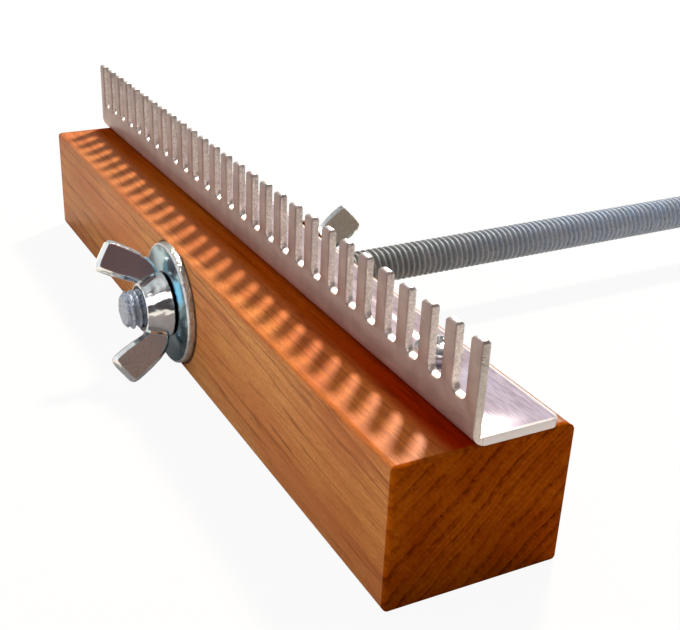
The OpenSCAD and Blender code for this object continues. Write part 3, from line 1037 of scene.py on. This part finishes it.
# Studio
# A plain pale floor and a white backdrop, one warm lamp behind and above that shines through
# the comb, and soft light all round: bright from the front and from behind, dim from the right.
FLOOR_SIZE = 12
FLOOR_PAPER, WHITE = (0.68, 0.66, 0.64), (1, 1, 1)
SKY_TINT, SKY_DIM_TINT = (0.97, 0.98, 1.0), (1.0, 0.90, 0.92)
LAMP_PLACE, LAMP_TARGET = (-0.43, 0.40, 0.81), (0, -0.13, 0.03)
LAMP_SIZE, LAMP_POWER, LAMP_COLOUR = 0.13, 18.5, (1.0, 0.89, 0.76)
SKY_LEVEL, FRONT_LEVEL, BEHIND_LEVEL, RIGHT_DIMMING, WINDOW_LEVEL = 0.26, 0.66, 0.80, 0.75, 1.7
CAMERA_SENSOR, CAMERA_LENS, CAMERA_SHIFT = 36.0, 57.94, (0.0868, 0.0060)
CAMERA_NEAR = 0.01
CAMERA_PLACE = (0.19268, -0.21016, 0.10847)
CAMERA_RIGHT = Vector((0.42773, 0.90376, 0.01643))
CAMERA_UP = Vector((-0.40158, 0.17371, 0.8992))
CAMERA_LOOK = Vector((-0.8098, 0.39122, -0.43723))

only()
bpy.ops.mesh.primitive_plane_add(size=FLOOR_SIZE)
floor = bpy.context.object
floor.name = "floor"
paper = Finish("floor_paper")
seen = paper.node("LightPath", output="Is Camera Ray")
plain = paper.node("BsdfDiffuse", {}, {"Color": FLOOR_PAPER})
white = paper.node("Emission", {}, {"Color": WHITE, "Strength": 1.0})
paper.node_out(paper.node("MixShader", {}, {0: seen * 0.93, 1: plain, 2: white}))
floor.data.materials.append(paper.owner)

world = bpy.data.worlds.new("studio")
bpy.context.scene.world = world
sky = Finish("studio", world)
way = sky.node("TexCoord", output="Generated")


def toward(direction, low, high):
    """How far a ray heads in this direction, as a soft patch of the sky."""
    unit = Vector(direction).normalized()
    return sky.node("VectorMath", {"operation": "DOT_PRODUCT"}, {0: way, 1: unit},
                    "Value").ramp(low, high)


from_right = toward((0.80, 0.05, 0.55), 0.40, 0.92)
from_front = toward((-0.25, -0.90, 0.20), 0.10, 0.85)
from_behind = toward((-0.72, 0.69, 0.05), 0.86, 0.99)
from_window = toward((0.58, -0.34, 0.74), 0.945, 0.975)
light = SKY_LEVEL + from_front * FRONT_LEVEL + from_behind * BEHIND_LEVEL
light = light * (1 - from_right * RIGHT_DIMMING) + from_window * WINDOW_LEVEL
tint = sky.mix(from_right, SKY_TINT, SKY_DIM_TINT)
seen = sky.node("LightPath", output="Is Camera Ray")
clear = sky.node("LightPath", output="Is Transmission Ray")
shade = sky.node("Background", {}, {"Color": tint, "Strength": light})
backdrop = sky.node("Background", {}, {"Color": WHITE, "Strength": 1.0})
sky.node_out(sky.node("MixShader", {}, {0: seen.math("MAXIMUM", seen, clear), 1: shade,
                                        2: backdrop}), "World")

key = bpy.data.lights.new("key", "AREA")
key.shape, key.size, key.energy, key.color = "DISK", LAMP_SIZE, LAMP_POWER, LAMP_COLOUR
key_lamp = bpy.data.objects.new("key", key)
bpy.context.scene.collection.objects.link(key_lamp)
away = Vector(LAMP_PLACE) - Vector(LAMP_TARGET)
key_lamp.matrix_world = (Matrix.Translation(LAMP_PLACE)
                         @ away.to_track_quat("Z", "Y").to_matrix().to_4x4())

camera = bpy.data.cameras.new("camera")
camera.sensor_fit, camera.sensor_width, camera.lens = "HORIZONTAL", CAMERA_SENSOR, CAMERA_LENS
camera.shift_x, camera.shift_y = CAMERA_SHIFT
camera.clip_start = CAMERA_NEAR
viewer = bpy.data.objects.new("camera", camera)
bpy.context.scene.collection.objects.link(viewer)
viewer.matrix_world = Matrix.Translation(CAMERA_PLACE) @ Matrix(
    (CAMERA_RIGHT, CAMERA_UP, -CAMERA_LOOK)).transposed().to_4x4()
bpy.context.scene.camera = viewer
bpy.context.scene.view_settings.view_transform = "Standard"
